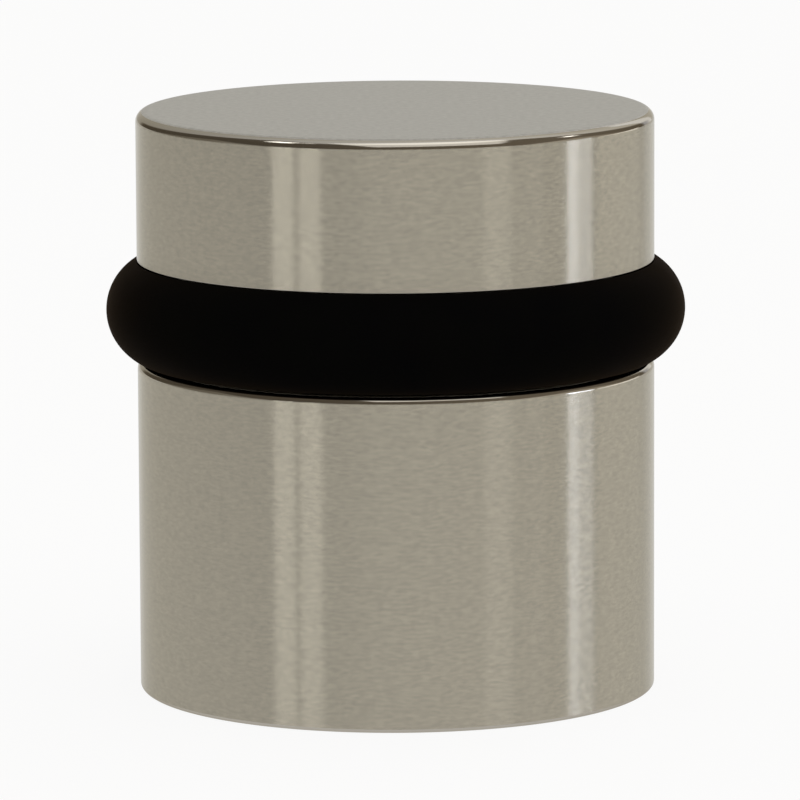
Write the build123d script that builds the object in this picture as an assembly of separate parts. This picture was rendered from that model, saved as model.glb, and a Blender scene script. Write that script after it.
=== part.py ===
from build123d import *
import math
import os

# Cylindrical floor door stop. A turned base is screwed to the floor through a hole in its
# bottom, a turned cap screws into the base and hides that screw, and a rubber ring is
# squeezed between the two. Sizes are in millimetres. The origin is the middle of the
# underside, which stands on the floor, and +Z runs up the axis of turning.

# Outside of the metal
body_d = 40.0          # base and cap's head
base_h = 25.8          # base, from the floor to its top face
groove_h = 7.6         # space between base and head, which the ring fills
head_h = 11.6          # cap's head, from its underside to the flat top
shoulder_round = 0.8   # polished rounding of the top edge, the same on base and cap
foot_break = 0.3       # chamfer round the foot of the base
head_break = 0.12      # burr taken off the lower edge of the cap's head

# Rubber ring, flat on its three seats and round on the side that meets the door
groove_depth = 5.8     # from the outside of the metal in to the cap's neck
ring_stand_out = 2.4   # how far the middle of the ring bulges out past the metal

# Screw joint between cap and base, drawn plain at the mean diameter of its thread
thread_d = 16.0        # over the crests of the cap's thread
thread_pitch = 1.5
mean_line_depth = 0.325    # crests of the thread in to its mean line, in pitches
drill_depth = 0.541        # crests in to the wall that the tapping drill leaves, in pitches
thread_clearance = 0.05
spigot_len = 10.0      # cap's threaded spigot, below the neck
spigot_lead = 1.0      # chamfer at the end of the spigot
runout_w = 2.0         # groove at the root of the spigot, where the thread runs out
runout_depth = 0.6
socket_spare = 2.0     # thread in the base beyond the end of the spigot
socket_lead = 0.8      # chamfer at the mouth of the socket

# Fixing to the floor
floor_web = 7.0        # metal left under the well, which the screw pulls down
screw_d = 5.0          # flat-head floor screw
screw_clearance = 0.25
screw_head_d = 10.0
head_room = 0.3        # the countersink is this much larger in radius than the screw's head
countersink_deg = 90.0
mouth_break = 0.3      # chamfer at the lower end of the screw hole
foot_rim_w = 4.0       # rim that the base stands on
foot_hollow_h = 0.5    # depth that the underside is hollowed within the rim

# Worked out
body_r = body_d / 2
neck_r = body_r - groove_depth
head_z = base_h + groove_h
top_z = head_z + head_h
mean_thread_r = thread_d / 2 - mean_line_depth * thread_pitch
tapping_drill_r = thread_d / 2 - drill_depth * thread_pitch
socket_r = mean_thread_r + thread_clearance
spigot_z = base_h - spigot_len
socket_z = spigot_z - socket_spare
screw_hole_r = screw_d / 2 + screw_clearance
countersink_r = screw_head_d / 2 + head_room


def turned(section):
    """Solid turned about Z from the corners of half its section, each a radius and a height."""
    with BuildPart() as piece:
        with BuildSketch(Plane.XZ):
            with BuildLine():
                Polyline(*section, close=True)
            make_face()
        revolve(axis=Axis.Z)
    return piece.part


def rim(piece, radius, height):
    """The round edge of a turned piece at a radius and a height."""
    circles = piece.edges().filter_by(GeomType.CIRCLE)
    return circles.sort_by(lambda e: abs(e.radius - radius) + abs(e.center().Z - height))[0]


def make_base():
    """Base: a puck with a socket for the cap in its top, and under the socket a well for the
    head of the floor screw. It stands on a rim, with the rest of the underside hollowed."""
    hollow_r = body_r - foot_rim_w
    base = turned([
        (screw_hole_r, foot_hollow_h),
        (hollow_r, foot_hollow_h),
        (hollow_r, 0),
        (body_r, 0),
        (body_r, base_h),
        (socket_r, base_h),
        (socket_r, socket_z),
        (tapping_drill_r, socket_z),
        (tapping_drill_r, floor_web),
        (screw_hole_r, floor_web),
    ])
    base = fillet(rim(base, body_r, base_h), shoulder_round)
    base = chamfer(rim(base, body_r, 0), foot_break)
    base = chamfer(rim(base, socket_r, base_h), socket_lead)
    base = chamfer(rim(base, screw_hole_r, foot_hollow_h), mouth_break)
    return countersunk(base)


def countersunk(base):
    """Cuts the seat of the screw's flat head into the floor of the well."""
    depth = (countersink_r - screw_hole_r) / math.tan(math.radians(countersink_deg / 2))
    seat = Cone(screw_hole_r, countersink_r, depth, align=(Align.CENTER, Align.CENTER, Align.MAX))
    return base - Pos(0, 0, floor_web) * seat


def make_cap():
    """Cap: head, neck and threaded spigot turned from one bar. The shoulder between neck and
    spigot seats on the base's top face and so sets the height of the ring's groove."""
    runout_r = mean_thread_r - runout_depth
    cap = turned([
        (0, spigot_z),
        (mean_thread_r, spigot_z),
        (mean_thread_r, base_h - runout_w),
        (runout_r, base_h - runout_w),
        (runout_r, base_h),
        (neck_r, base_h),
        (neck_r, head_z),
        (body_r, head_z),
        (body_r, top_z),
        (0, top_z),
    ])
    cap = fillet(rim(cap, body_r, top_z), shoulder_round)
    cap = chamfer(rim(cap, body_r, head_z), head_break)
    return chamfer(rim(cap, mean_thread_r, spigot_z), spigot_lead)


def make_ring():
    """Rubber ring: it fills the groove from wall to wall and in to the neck, and from the edges
    of the metal it bulges out in one round nose that the door meets."""
    with BuildPart() as ring:
        with BuildSketch(Plane.XZ):
            with BuildLine():
                nose = ThreePointArc(
                    (body_r, base_h),
                    (body_r + ring_stand_out, base_h + groove_h / 2),
                    (body_r, head_z),
                )
                Polyline(nose @ 1, (neck_r, head_z), (neck_r, base_h), nose @ 0)
            make_face()
        revolve(axis=Axis.Z)
    return ring.part


pieces = {
    "base": make_base(),
    "cap": make_cap(),
    "rubber_ring": make_ring(),
}

os.makedirs("parts", exist_ok=True)
for name, piece in pieces.items():
    export_step(piece, f"parts/{name}.step")
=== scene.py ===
import math

import bmesh
import bpy
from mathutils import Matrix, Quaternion, Vector


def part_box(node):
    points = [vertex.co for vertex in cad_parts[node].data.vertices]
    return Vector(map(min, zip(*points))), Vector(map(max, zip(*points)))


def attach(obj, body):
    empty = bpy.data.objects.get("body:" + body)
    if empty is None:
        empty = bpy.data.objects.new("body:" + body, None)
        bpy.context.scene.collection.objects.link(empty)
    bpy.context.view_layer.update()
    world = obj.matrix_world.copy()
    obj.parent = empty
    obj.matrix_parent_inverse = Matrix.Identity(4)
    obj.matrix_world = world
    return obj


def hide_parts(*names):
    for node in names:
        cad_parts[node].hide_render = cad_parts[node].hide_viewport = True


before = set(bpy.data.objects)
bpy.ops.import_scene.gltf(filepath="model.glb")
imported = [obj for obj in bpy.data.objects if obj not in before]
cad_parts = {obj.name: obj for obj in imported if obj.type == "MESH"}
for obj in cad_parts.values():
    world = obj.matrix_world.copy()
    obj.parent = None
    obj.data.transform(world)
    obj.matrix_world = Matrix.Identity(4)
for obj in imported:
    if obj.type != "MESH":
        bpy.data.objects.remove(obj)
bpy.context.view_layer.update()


# Base
# The lower half of the stop, a puck turned from solid bar. Its top has the threaded socket for the
# cap and, below that, a well and a countersunk hole for the screw that holds it to the floor. The
# outside is nickel plated and satined with fine abrasive as it turned, and the top edge is polished.
MM = 0.001
RIM_STEPS = 288                # straight sides in a full turn of the metal
body_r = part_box("base")[1].x
base_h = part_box("base")[1].z
shoulder_round = 0.8 * MM
shoulder_steps = 14
foot_break = 0.3 * MM
foot_rim_w = 4.0 * MM
foot_hollow_h = 0.5 * MM
mouth_break = 0.3 * MM
screw_hole_r = 2.75 * MM
countersink_r = 5.3 * MM
floor_web = 7.0 * MM           # metal left below the well
well_r = 7.1885 * MM           # as the tapping drill leaves it
socket_r = 7.5625 * MM         # mean radius of the thread, with clearance
socket_lead = 0.8 * MM
socket_depth = 12.0 * MM
smooth_below = math.radians(35)


def start_turning(name, low, high):
    """A blank of the body's diameter standing on Z from low to high, open in edit mode."""
    bpy.ops.object.select_all(action="DESELECT")
    bpy.ops.mesh.primitive_cylinder_add(
        vertices=RIM_STEPS,
        radius=body_r,
        depth=high - low,
        end_fill_type="NGON",
        location=(0, 0, (low + high) / 2),
    )
    bpy.ops.object.transform_apply(location=True, rotation=True, scale=True)
    piece = bpy.context.object
    piece.name = name
    bpy.ops.object.mode_set(mode="EDIT")
    return piece


def pick_ends(*heights):
    """Selects the round end faces that lie at these heights, and nothing else."""
    bpy.ops.mesh.select_mode(type="FACE")
    bpy.ops.mesh.select_all(action="DESELECT")
    mesh = bmesh.from_edit_mesh(bpy.context.object.data)
    for face in mesh.faces:
        height = face.calc_center_median().z
        face.select_set(len(face.verts) == RIM_STEPS and any(abs(height - h) < 1e-6 for h in heights))
    bmesh.update_edit_mesh(bpy.context.object.data)


def pick_rims(*rims):
    """Selects the circles of edges with these (radius, height) pairs, and nothing else."""
    bpy.ops.mesh.select_mode(type="EDGE")
    bpy.ops.mesh.select_all(action="DESELECT")
    mesh = bmesh.from_edit_mesh(bpy.context.object.data)
    for edge in mesh.edges:
        ends = [(corner.co.xy.length, corner.co.z) for corner in edge.verts]
        edge.select_set(any(max(math.dist(end, rim) for end in ends) < 5e-6 for rim in rims))
    bmesh.update_edit_mesh(bpy.context.object.data)


def inset(width, sink=0.0):
    """Insets the picked end, level or sunk into the metal as a cone."""
    bpy.ops.mesh.inset(thickness=width, depth=-sink)


def draw(rise):
    """Draws the picked end up or down as a straight wall."""
    bpy.ops.mesh.extrude_region_move(TRANSFORM_OT_translate={"value": (0, 0, rise)})


def linear(hex_colour):
    """An sRGB hex colour as the linear RGBA that sockets take."""
    parts = [int(hex_colour[i:i + 2], 16) / 255 for i in (1, 3, 5)]
    return [c / 12.92 if c <= 0.04045 else ((c + 0.055) / 1.055) ** 2.4 for c in parts] + [1.0]


def add_node(tree, kind, inputs=None, **settings):
    """Adds a node. Each input is a value, or the output of another node that is linked to it."""
    node = tree.nodes.new(kind)
    for name, value in settings.items():
        setattr(node, name, value)
    for name, value in (inputs or {}).items():
        if isinstance(value, bpy.types.NodeSocket):
            tree.links.new(value, node.inputs[name])
        else:
            node.inputs[name].default_value = value
    return node


def start_material(name):
    """A new material with an empty node tree, and that tree."""
    material = bpy.data.materials.new(name)
    material.use_nodes = True
    material.node_tree.nodes.clear()
    return material, material.node_tree


# Satin nickel plate. The abrasive leaves short scratches that run round the axis, so a light is
# drawn out along the axis and stays narrow round it, and the colour is warm grey.
scratch_pitch = 0.19 * MM      # real ones lie ten times closer, these are as fine as can show
scratch_length = 0.7 * MM
scratch_depth = 0.004 * MM
mottle_size = 0.5 * MM
mottle_share = 0.35            # of the tone, the rest comes from the scratches
satin_nickel, tree = start_material("satin_nickel_plate")
place = add_node(tree, "ShaderNodeTexCoord").outputs["Object"]
axes = add_node(tree, "ShaderNodeSeparateXYZ", {"Vector": place})
across = add_node(tree, "ShaderNodeCombineXYZ", {"X": axes.outputs["X"], "Y": axes.outputs["Y"]})
radius = add_node(tree, "ShaderNodeVectorMath", {0: across.outputs[0]}, operation="LENGTH")
outward = add_node(tree, "ShaderNodeVectorMath", {0: across.outputs[0]}, operation="NORMALIZE")
round_axis = add_node(
    tree, "ShaderNodeVectorMath",
    {0: outward.outputs[0], "Scale": body_r / scratch_length}, operation="SCALE"
)
along = add_node(
    tree, "ShaderNodeMath", {0: axes.outputs["Z"], 1: radius.outputs["Value"]}, operation="SUBTRACT"
)
fine = add_node(
    tree, "ShaderNodeMath", {0: along.outputs[0], 1: 1 / scratch_pitch}, operation="MULTIPLY"
)
fine_up = add_node(tree, "ShaderNodeCombineXYZ", {"Z": fine.outputs[0]})
scratch_place = add_node(
    tree, "ShaderNodeVectorMath", {0: round_axis.outputs[0], 1: fine_up.outputs[0]}, operation="ADD"
)
scratches = add_node(
    tree, "ShaderNodeTexNoise",
    {"Vector": scratch_place.outputs[0], "Scale": 1.0, "Detail": 3.0, "Roughness": 0.55}
)
mottle = add_node(
    tree, "ShaderNodeTexNoise",
    {"Vector": place, "Scale": 1 / mottle_size, "Detail": 3.0, "Roughness": 0.6}
)
mixed = add_node(
    tree, "ShaderNodeMix",
    {0: mottle_share, 2: scratches.outputs["Fac"], 3: mottle.outputs["Fac"]}, data_type="FLOAT"
)
tone = add_node(tree, "ShaderNodeValToRGB", {"Fac": mixed.outputs[0]})
tone.color_ramp.elements[0].position = 0.35
tone.color_ramp.elements[0].color = linear("#9d988b")
tone.color_ramp.elements[1].position = 0.65
tone.color_ramp.elements[1].color = linear("#aca697")
rough = add_node(
    tree, "ShaderNodeMapRange",
    {"Value": mixed.outputs[0], "From Min": 0.3, "From Max": 0.7, "To Min": 0.228, "To Max": 0.254}
)
bump = add_node(
    tree, "ShaderNodeBump",
    {"Strength": 0.3, "Distance": scratch_depth, "Height": scratches.outputs["Fac"]}
)
tangent = add_node(tree, "ShaderNodeTangent", direction_type="RADIAL", axis="Z")
surface = add_node(
    tree, "ShaderNodeBsdfPrincipled",
    {
        "Base Color": tone.outputs["Color"],
        "Metallic": 1.0,
        "Roughness": rough.outputs["Result"],
        "Anisotropic": 1.0,
        "Anisotropic Rotation": 0.25,
        "Tangent": tangent.outputs["Tangent"],
        "Normal": bump.outputs["Normal"],
        "Specular Tint": linear("#e4e2dc"),
    }
)
add_node(tree, "ShaderNodeOutputMaterial", {"Surface": surface.outputs["BSDF"]})

# The same plate on the flat end, satined with a pad that wanders, so its scratches run all ways and give an
# even grey with a faint haze in it. Its tone is set apart from the side's, cooler and a little lighter, to
# give the top the grey it takes in this room's light: painted light on a copy of the plate, not a different
# metal.
haze_size = 0.5 * MM           # coarser than the real haze, as fine as can show
end_nickel, tree = start_material("satin_nickel_end")
place = add_node(tree, "ShaderNodeTexCoord").outputs["Object"]
haze = add_node(
    tree, "ShaderNodeTexNoise",
    {"Vector": place, "Scale": 1 / haze_size, "Detail": 4.0, "Roughness": 0.6}
)
# The end's tone is painted light: cooler and lighter than the side's plate, for how the top is lit.
tone = add_node(tree, "ShaderNodeValToRGB", {"Fac": haze.outputs["Fac"]})
tone.color_ramp.elements[0].position = 0.35
tone.color_ramp.elements[0].color = linear("#a09f9c")
tone.color_ramp.elements[1].position = 0.65
tone.color_ramp.elements[1].color = linear("#b8b7b4")
rough = add_node(
    tree, "ShaderNodeMapRange",
    {"Value": haze.outputs["Fac"], "From Min": 0.3, "From Max": 0.7, "To Min": 0.3, "To Max": 0.36}
)
bump = add_node(
    tree, "ShaderNodeBump", {"Strength": 0.2, "Distance": scratch_depth, "Height": haze.outputs["Fac"]}
)
surface = add_node(
    tree, "ShaderNodeBsdfPrincipled",
    {
        "Base Color": tone.outputs["Color"],
        "Metallic": 1.0,
        "Roughness": rough.outputs["Result"],
        "Normal": bump.outputs["Normal"],
        "Specular Tint": linear("#efefed"),
    }
)
add_node(tree, "ShaderNodeOutputMaterial", {"Surface": surface.outputs["BSDF"]})

# Polished nickel on the rounded edges, which a leather mop has brightened. It mirrors the floor,
# the lamps and the ring as thin sharp lines.
polished_nickel, tree = start_material("polished_nickel_edge")
place = add_node(tree, "ShaderNodeTexCoord").outputs["Object"]
wear = add_node(tree, "ShaderNodeTexNoise", {"Vector": place, "Scale": 1 / mottle_size, "Detail": 3.0})
rough = add_node(
    tree, "ShaderNodeMapRange",
    {"Value": wear.outputs["Fac"], "From Min": 0.3, "From Max": 0.7, "To Min": 0.08, "To Max": 0.14}
)
surface = add_node(
    tree, "ShaderNodeBsdfPrincipled",
    {
        "Base Color": linear("#aaa59b"),
        "Metallic": 1.0,
        "Roughness": rough.outputs["Result"],
        "Specular Tint": linear("#d2cec5"),
    }
)
add_node(tree, "ShaderNodeOutputMaterial", {"Surface": surface.outputs["BSDF"]})


satin_up_to = 4                # degrees from upright that keep the satin of the side
polish_up_to = 62              # degrees from upright, the rest is done with the flat end


def round_rim(radius, height, width, steps, end=0):
    """Rounds a rim in so many steps and polishes the rounding between its two limits. What lies
    nearer to level takes the material slot that is given as end."""
    pick_rims((radius, height))
    bpy.ops.mesh.bevel(offset=width, segments=steps, affect="EDGES")
    mesh = bmesh.from_edit_mesh(bpy.context.object.data)
    for face in mesh.faces:
        lean = math.degrees(math.asin(min(abs(face.normal.z), 1.0)))
        if face.select and lean > satin_up_to:
            face.material_index = 1 if lean < polish_up_to else end
    bmesh.update_edit_mesh(bpy.context.object.data)


def finish_turning(piece, *nodes):
    """Shades the turned piece, true on its flats, and puts it on its body in place of its CAD node."""
    bpy.ops.object.mode_set(mode="OBJECT")
    bpy.ops.object.shade_smooth_by_angle(angle=smooth_below)
    weighted = piece.modifiers.new("true_flats", "WEIGHTED_NORMAL")
    weighted.keep_sharp = True
    weighted.weight = 100
    bpy.ops.object.modifier_apply(modifier=weighted.name)
    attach(piece, "root")
    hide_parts(*nodes)


base = start_turning("turned_base", 0.0, base_h)
base.data.materials.append(satin_nickel)
base.data.materials.append(polished_nickel)
pick_ends(base_h)
inset(body_r - socket_r - socket_lead)
inset(socket_lead, sink=socket_lead)
draw(socket_lead - socket_depth)
inset(socket_r - well_r)
draw(floor_web - (base_h - socket_depth))
inset(well_r - countersink_r)
inset(countersink_r - screw_hole_r, sink=countersink_r - screw_hole_r)
pick_ends(0.0)
inset(foot_rim_w)
draw(foot_hollow_h)
inset(body_r - foot_rim_w - screw_hole_r - mouth_break)
inset(mouth_break, sink=mouth_break)
pick_ends(floor_web - countersink_r + screw_hole_r, foot_hollow_h + mouth_break)
bpy.ops.mesh.bridge_edge_loops()
round_rim(body_r, base_h, shoulder_round, shoulder_steps, end=1)
round_rim(body_r, 0.0, foot_break, steps=4)
finish_turning(base, "base")


# Cap
# The upper half, turned and finished as the base is. Its neck passes through the ring, and the
# spigot below screws into the base, so that the head squeezes the ring and hides the floor screw.
cap_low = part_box("cap")[0].z
top_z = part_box("cap")[1].z
head_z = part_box("rubber_ring")[1].z
head_break = 0.12 * MM
groove_depth = 5.8 * MM        # from the outside in to the neck
neck_r = body_r - groove_depth
spigot_r = 7.5125 * MM         # mean radius of the thread
spigot_lead = 1.0 * MM
runout_w = 2.0 * MM
runout_depth = 0.6 * MM
end_border = 2.0 * MM          # ring of faces inside the rim, which keeps the end's shading flat


def widen(radius, new_radius):
    """Steps the picked end out to a larger radius as a flat shoulder."""
    share = new_radius / radius
    bpy.ops.mesh.extrude_region_move(TRANSFORM_OT_translate={"value": (0, 0, 0)})
    bpy.ops.transform.resize(value=(share, share, 1))


cap = start_turning("turned_cap", head_z, top_z)
cap.data.materials.append(satin_nickel)
cap.data.materials.append(polished_nickel)
cap.data.materials.append(end_nickel)
pick_ends(head_z)
inset(body_r - neck_r)
draw(base_h - head_z)
inset(neck_r - spigot_r + runout_depth)
draw(-runout_w)
widen(spigot_r - runout_depth, spigot_r)
draw(cap_low + spigot_lead - (base_h - runout_w))
draw(-spigot_lead)
share = (spigot_r - spigot_lead) / spigot_r
bpy.ops.transform.resize(value=(share, share, 1))
pick_ends(top_z)
cap.active_material_index = 2
bpy.ops.object.material_slot_assign()
inset(end_border)
round_rim(body_r, top_z, shoulder_round, shoulder_steps, end=2)
round_rim(body_r, head_z, head_break, steps=3)
finish_turning(cap, "cap")


# Rubber ring
# The buffer that meets the door, one moulding of black rubber. It is flat where it sits on the
# base, under the head and on the neck, bulges past the metal, and is held by being squeezed.
ring_r = -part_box("rubber_ring")[0].x
ring_z = (base_h + head_z) / 2
ring_half_h = (head_z - base_h) / 2
nose_out = ring_r - body_r
nose_r = (nose_out ** 2 + ring_half_h ** 2) / (2 * nose_out)
nose_steps = 96

bpy.ops.object.select_all(action="DESELECT")
bpy.ops.mesh.primitive_circle_add(
    vertices=nose_steps,
    radius=nose_r,
    location=(ring_r - nose_r, 0, ring_z),
    rotation=(math.radians(90), 0, 0),
)
bpy.ops.object.transform_apply(location=True, rotation=True, scale=True)
ring = bpy.context.object
ring.name = "moulded_ring"
bpy.ops.object.mode_set(mode="EDIT")
bpy.ops.mesh.select_mode(type="VERT")
bpy.ops.mesh.select_all(action="SELECT")
bpy.ops.mesh.bisect(plane_co=(body_r, 0, 0), plane_no=(1, 0, 0), clear_inner=True)
mesh = bmesh.from_edit_mesh(ring.data)
for corner in mesh.verts:
    corner.select_set(abs(corner.co.x - body_r) < 1e-6)
bmesh.update_edit_mesh(ring.data)
bpy.ops.mesh.extrude_region_move(TRANSFORM_OT_translate={"value": (neck_r - body_r, 0, 0)})
bpy.ops.mesh.edge_face_add()
bpy.ops.mesh.select_all(action="SELECT")
bpy.ops.mesh.spin(steps=RIM_STEPS, angle=math.tau, center=(0, 0, 0), axis=(0, 0, 1))
bpy.ops.mesh.select_all(action="SELECT")
bpy.ops.mesh.remove_doubles(threshold=1e-6)
bpy.ops.mesh.normals_make_consistent(inside=False)
bpy.ops.object.mode_set(mode="OBJECT")
bpy.ops.object.shade_smooth_by_angle(angle=smooth_below)

# Moulded black rubber. Carbon black takes nearly all the light, and the fine grain of the mould
# leaves only a dull brownish sheen.
grain_size = 0.25 * MM
grain_depth = 0.01 * MM
bloom_size = 6.0 * MM          # patches where the surface has dulled more
black_rubber, tree = start_material("moulded_black_rubber")
place = add_node(tree, "ShaderNodeTexCoord").outputs["Object"]
grain = add_node(tree, "ShaderNodeTexNoise", {"Vector": place, "Scale": 1 / grain_size, "Detail": 3.0})
bloom = add_node(tree, "ShaderNodeTexNoise", {"Vector": place, "Scale": 1 / bloom_size, "Detail": 2.0})
tone = add_node(tree, "ShaderNodeValToRGB", {"Fac": bloom.outputs["Fac"]})
tone.color_ramp.elements[0].position = 0.3
tone.color_ramp.elements[0].color = linear("#060607")
tone.color_ramp.elements[1].position = 0.75
tone.color_ramp.elements[1].color = linear("#090908")
rough = add_node(
    tree, "ShaderNodeMapRange",
    {"Value": bloom.outputs["Fac"], "From Min": 0.3, "From Max": 0.7, "To Min": 0.7, "To Max": 0.85}
)
bump = add_node(
    tree, "ShaderNodeBump", {"Strength": 0.25, "Distance": grain_depth, "Height": grain.outputs["Fac"]}
)
surface = add_node(
    tree, "ShaderNodeBsdfPrincipled",
    {
        "Base Color": tone.outputs["Color"],
        "Roughness": rough.outputs["Result"],
        "Specular IOR Level": 0.004,
        "Sheen Weight": 0.1,
        "Sheen Roughness": 0.35,
        "Sheen Tint": linear("#a08058"),
        "Normal": bump.outputs["Normal"],
    }
)
add_node(tree, "ShaderNodeOutputMaterial", {"Surface": surface.outputs["BSDF"]})
ring.data.materials.append(black_rubber)
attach(ring, "root")
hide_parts("rubber_ring")


# Floor
# A plain pale floor, wide enough that the camera never sees past it. To the eye, and to the metal that
# mirrors it, it is mostly plain white, and the rest is paper, which takes the object's shadow.
floor_r = 3.0
white_share = 0.9
bpy.ops.object.select_all(action="DESELECT")
bpy.ops.mesh.primitive_circle_add(vertices=96, radius=floor_r, fill_type="NGON", location=(0, 0, 0))
floor = bpy.context.object
floor.name = "floor"
pale_floor, tree = start_material("pale_floor")
paper = add_node(tree, "ShaderNodeBsdfDiffuse", {"Color": linear("#f8f8f6")})
white = add_node(tree, "ShaderNodeEmission", {"Color": linear("#ffffff"), "Strength": 1.0})
rays = add_node(tree, "ShaderNodeLightPath").outputs
mirrored = add_node(
    tree, "ShaderNodeMath", {0: rays["Is Glossy Ray"], 1: rays["Is Transmission Ray"]}, operation="MAXIMUM"
)
shown = add_node(
    tree, "ShaderNodeMath", {0: rays["Is Camera Ray"], 1: mirrored.outputs[0]}, operation="MAXIMUM"
)
share = add_node(tree, "ShaderNodeMath", {0: shown.outputs[0], 1: white_share}, operation="MULTIPLY")
seen = add_node(
    tree, "ShaderNodeMixShader", {0: share.outputs[0], 1: paper.outputs[0], 2: white.outputs[0]}
)
add_node(tree, "ShaderNodeOutputMaterial", {"Surface": seen.outputs[0]})
pale_floor.cycles.emission_sampling = "NONE"       # the white is only seen, and is no lamp
floor.data.materials.append(pale_floor)


# Light
# A bright room with a large panel overhead, low lamps that stand on the floor and small ones high up.
# The sides mirror the low lamps as upright bands. The room has a dim opening on the camera's side and
# round the flanks, which the polished rims mirror as a dark line, and it is brighter on the right.
world = bpy.data.worlds.new("studio")
bpy.context.scene.world = world
world.use_nodes = True
tree = world.node_tree
tree.nodes.clear()
room_level = 0.97
right_share = 0.34             # how much more light comes from the right, and less from the left
edge = 0.04                    # half the width over which the edges of the opening fade

# Heights are sines of the angle above the floor, and depths run from -1 at the camera to 1 behind
# the object. The opening lies between its sill, which is lower near the camera and far behind, and
# its lintel, which comes down behind. Below the lintel the wall is darker too, more so at the sides.
direction = add_node(tree, "ShaderNodeTexCoord").outputs["Generated"]
axes = add_node(tree, "ShaderNodeSeparateXYZ", {"Vector": direction})
height = axes.outputs["Z"]
depth = axes.outputs["Y"]
near = add_node(tree, "ShaderNodeMapRange", {"Value": depth, "From Min": 0.0, "From Max": -0.6})
far = add_node(tree, "ShaderNodeMath", {0: depth, 1: 0.0}, operation="MAXIMUM")
sill_far = add_node(
    tree, "ShaderNodeMath", {0: far.outputs[0], 1: -0.5, 2: 0.33}, operation="MULTIPLY_ADD"
)
sill = add_node(
    tree, "ShaderNodeMath", {0: near.outputs[0], 1: -0.32, 2: sill_far.outputs[0]}, operation="MULTIPLY_ADD"
)
lintel = add_node(tree, "ShaderNodeMath", {0: far.outputs[0], 1: -0.8, 2: 0.84}, operation="MULTIPLY_ADD")
above_sill = add_node(tree, "ShaderNodeMath", {0: height, 1: sill.outputs[0]}, operation="SUBTRACT")
below_lintel = add_node(tree, "ShaderNodeMath", {0: lintel.outputs[0], 1: height}, operation="SUBTRACT")
between = add_node(
    tree, "ShaderNodeMath", {0: above_sill.outputs[0], 1: below_lintel.outputs[0]}, operation="MINIMUM"
)
opening = add_node(
    tree, "ShaderNodeMapRange", {"Value": between.outputs[0], "From Min": -edge, "From Max": edge}
)
under = add_node(
    tree, "ShaderNodeMapRange", {"Value": below_lintel.outputs[0], "From Min": -edge, "From Max": edge}
)
not_behind = add_node(tree, "ShaderNodeMapRange", {"Value": depth, "From Min": 0.91, "From Max": 0.86})
darker = add_node(
    tree, "ShaderNodeMath", {0: under.outputs[0], 1: not_behind.outputs[0]}, operation="MULTIPLY"
)
darkest = add_node(
    tree, "ShaderNodeMath", {0: opening.outputs[0], 1: not_behind.outputs[0]}, operation="MULTIPLY"
)
behind = add_node(tree, "ShaderNodeMapRange", {"Value": depth, "From Min": 0.1, "From Max": 0.5})
upper_wall = add_node(
    tree, "ShaderNodeMix",
    {0: behind.outputs[0], 6: linear("#f8f7f5"), 7: linear("#e8e5de")}, data_type="RGBA"
)
low_tone = add_node(
    tree, "ShaderNodeMix",
    {0: near.outputs[0], 6: linear("#aea697"), 7: linear("#e6e2da")}, data_type="RGBA"
)
lower_wall = add_node(
    tree, "ShaderNodeMix",
    {0: darker.outputs[0], 6: upper_wall.outputs[2], 7: low_tone.outputs[2]}, data_type="RGBA"
)
walls = add_node(
    tree, "ShaderNodeMix",
    {0: darkest.outputs[0], 6: lower_wall.outputs[2], 7: linear("#7a7164")}, data_type="RGBA"
)
sideways = add_node(
    tree, "ShaderNodeMath",
    {0: axes.outputs["X"], 1: right_share * room_level, 2: room_level}, operation="MULTIPLY_ADD"
)

# A camera that looks level, or up from below the floor, sees past the floor, and sees plain white.
room = add_node(
    tree, "ShaderNodeBackground", {"Color": walls.outputs[2], "Strength": sideways.outputs[0]}
)
white = add_node(tree, "ShaderNodeBackground", {"Color": linear("#ffffff"), "Strength": 1.0})
rays = add_node(tree, "ShaderNodeLightPath").outputs
seen = add_node(
    tree, "ShaderNodeMixShader", {0: rays["Is Camera Ray"], 1: room.outputs[0], 2: white.outputs[0]}
)
add_node(tree, "ShaderNodeOutputWorld", {"Surface": seen.outputs[0]})

lamp_far = 1.6                 # metres from the object
strip_tall = 0.1
daylight = "#dfe8ff"           # the lamps on the right are cooler


def add_lamp(name, place, size, brightness, tone="#ffffff"):
    """A soft lamp panel that faces the object, as wide and high as size says in metres, and as
    bright as brightness says, where 1 is white."""
    light = bpy.data.lights.new(name, "AREA")
    light.shape = "RECTANGLE"
    light.size, light.size_y = size
    light.energy = brightness * math.pi * light.size * light.size_y
    light.color = linear(tone)[:3]
    lamp = bpy.data.objects.new(name, light)
    lamp.location = place
    lamp.rotation_euler = (-lamp.location).to_track_quat("-Z", "Y").to_euler()
    lamp.visible_camera = False
    bpy.context.scene.collection.objects.link(lamp)


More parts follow.
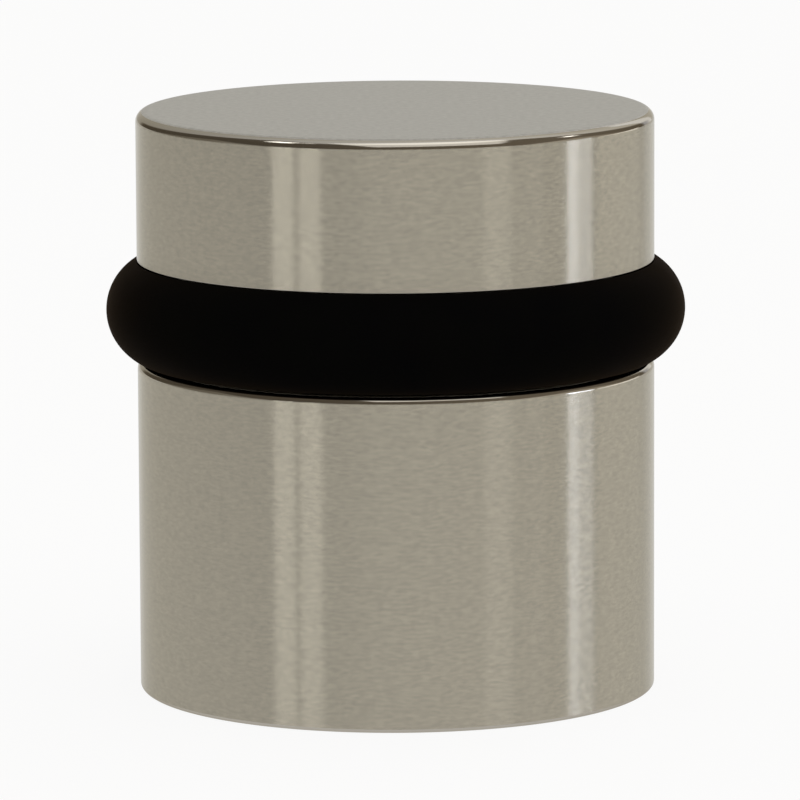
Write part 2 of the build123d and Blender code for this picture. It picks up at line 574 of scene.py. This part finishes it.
def add_strip(name, bearing, spread, brightness, tall=strip_tall, tone="#ffffff"):
    """A lamp that stands on the floor, at a bearing in degrees from the camera to its right, as
    wide as the spread in degrees that it takes up seen from the object."""
    angle = math.radians(bearing)
    wide = 2 * lamp_far * math.tan(math.radians(spread / 2))
    place = (lamp_far * math.sin(angle), -lamp_far * math.cos(angle), tall / 2)
    add_lamp(name, place, (wide, tall), brightness, tone)


def add_head(name, direction, size, brightness):
    """A small lamp high up in a direction from the object."""
    add_lamp(name, lamp_far * Vector(direction), size, brightness)


add_lamp("panel_overhead", (0.36, -0.95, 1.6), (1.93, 1.52), 1.06)
add_strip("strip_right_bright", 84.2, 6.2, 13.0, tone=daylight)
add_strip("strip_right_soft", 92.0, 9.0, 6.6, tone=daylight)
add_strip("strip_right_wide", 118, 36, 1.6)
add_strip("strip_left_near", -37.5, 10, 5.6)
add_strip("strip_left_far", -50.0, 10, 5.6)
add_strip("strip_front_right", 45.5, 13, 1.8)
add_strip("sweep_right", 152, 16, 0.85, tall=1.0, tone=daylight)
add_strip("strip_front_low", 18, 100, 1.4)
add_head("head_left_far", (-0.585, -0.25, 0.771), (0.26, 0.25), 4.2)
add_head("head_left_near", (-0.462, -0.364, 0.808), (0.12, 0.15), 1.2)
add_head("head_right", (0.794, 0.088, 0.601), (0.15, 0.15), 5.0)


# Camera
# Straight in front of the object and above it, over half a metre off with a long lens, so that the
# sides stay nearly upright. It looks down at the middle of the object, and is a little off plumb.
camera_far = 558.6 * MM
camera_high = 110.7 * MM
look_down = math.radians(8.934)
camera_roll = math.radians(0.28)
lens = bpy.data.cameras.new("camera")
lens.lens = 328.2
lens.sensor_width = 36
lens.shift_x = 0.0048
lens.shift_y = -0.0097
camera = bpy.data.objects.new("camera", lens)
camera.location = (0, -camera_far, camera_high)
aim = Quaternion((1, 0, 0), math.radians(90) - look_down)
camera.rotation_euler = (aim @ Quaternion((0, 0, 1), -camera_roll)).to_euler()
bpy.context.scene.collection.objects.link(camera)
bpy.context.scene.camera = camera
bpy.context.scene.view_settings.view_transform = "Standard"
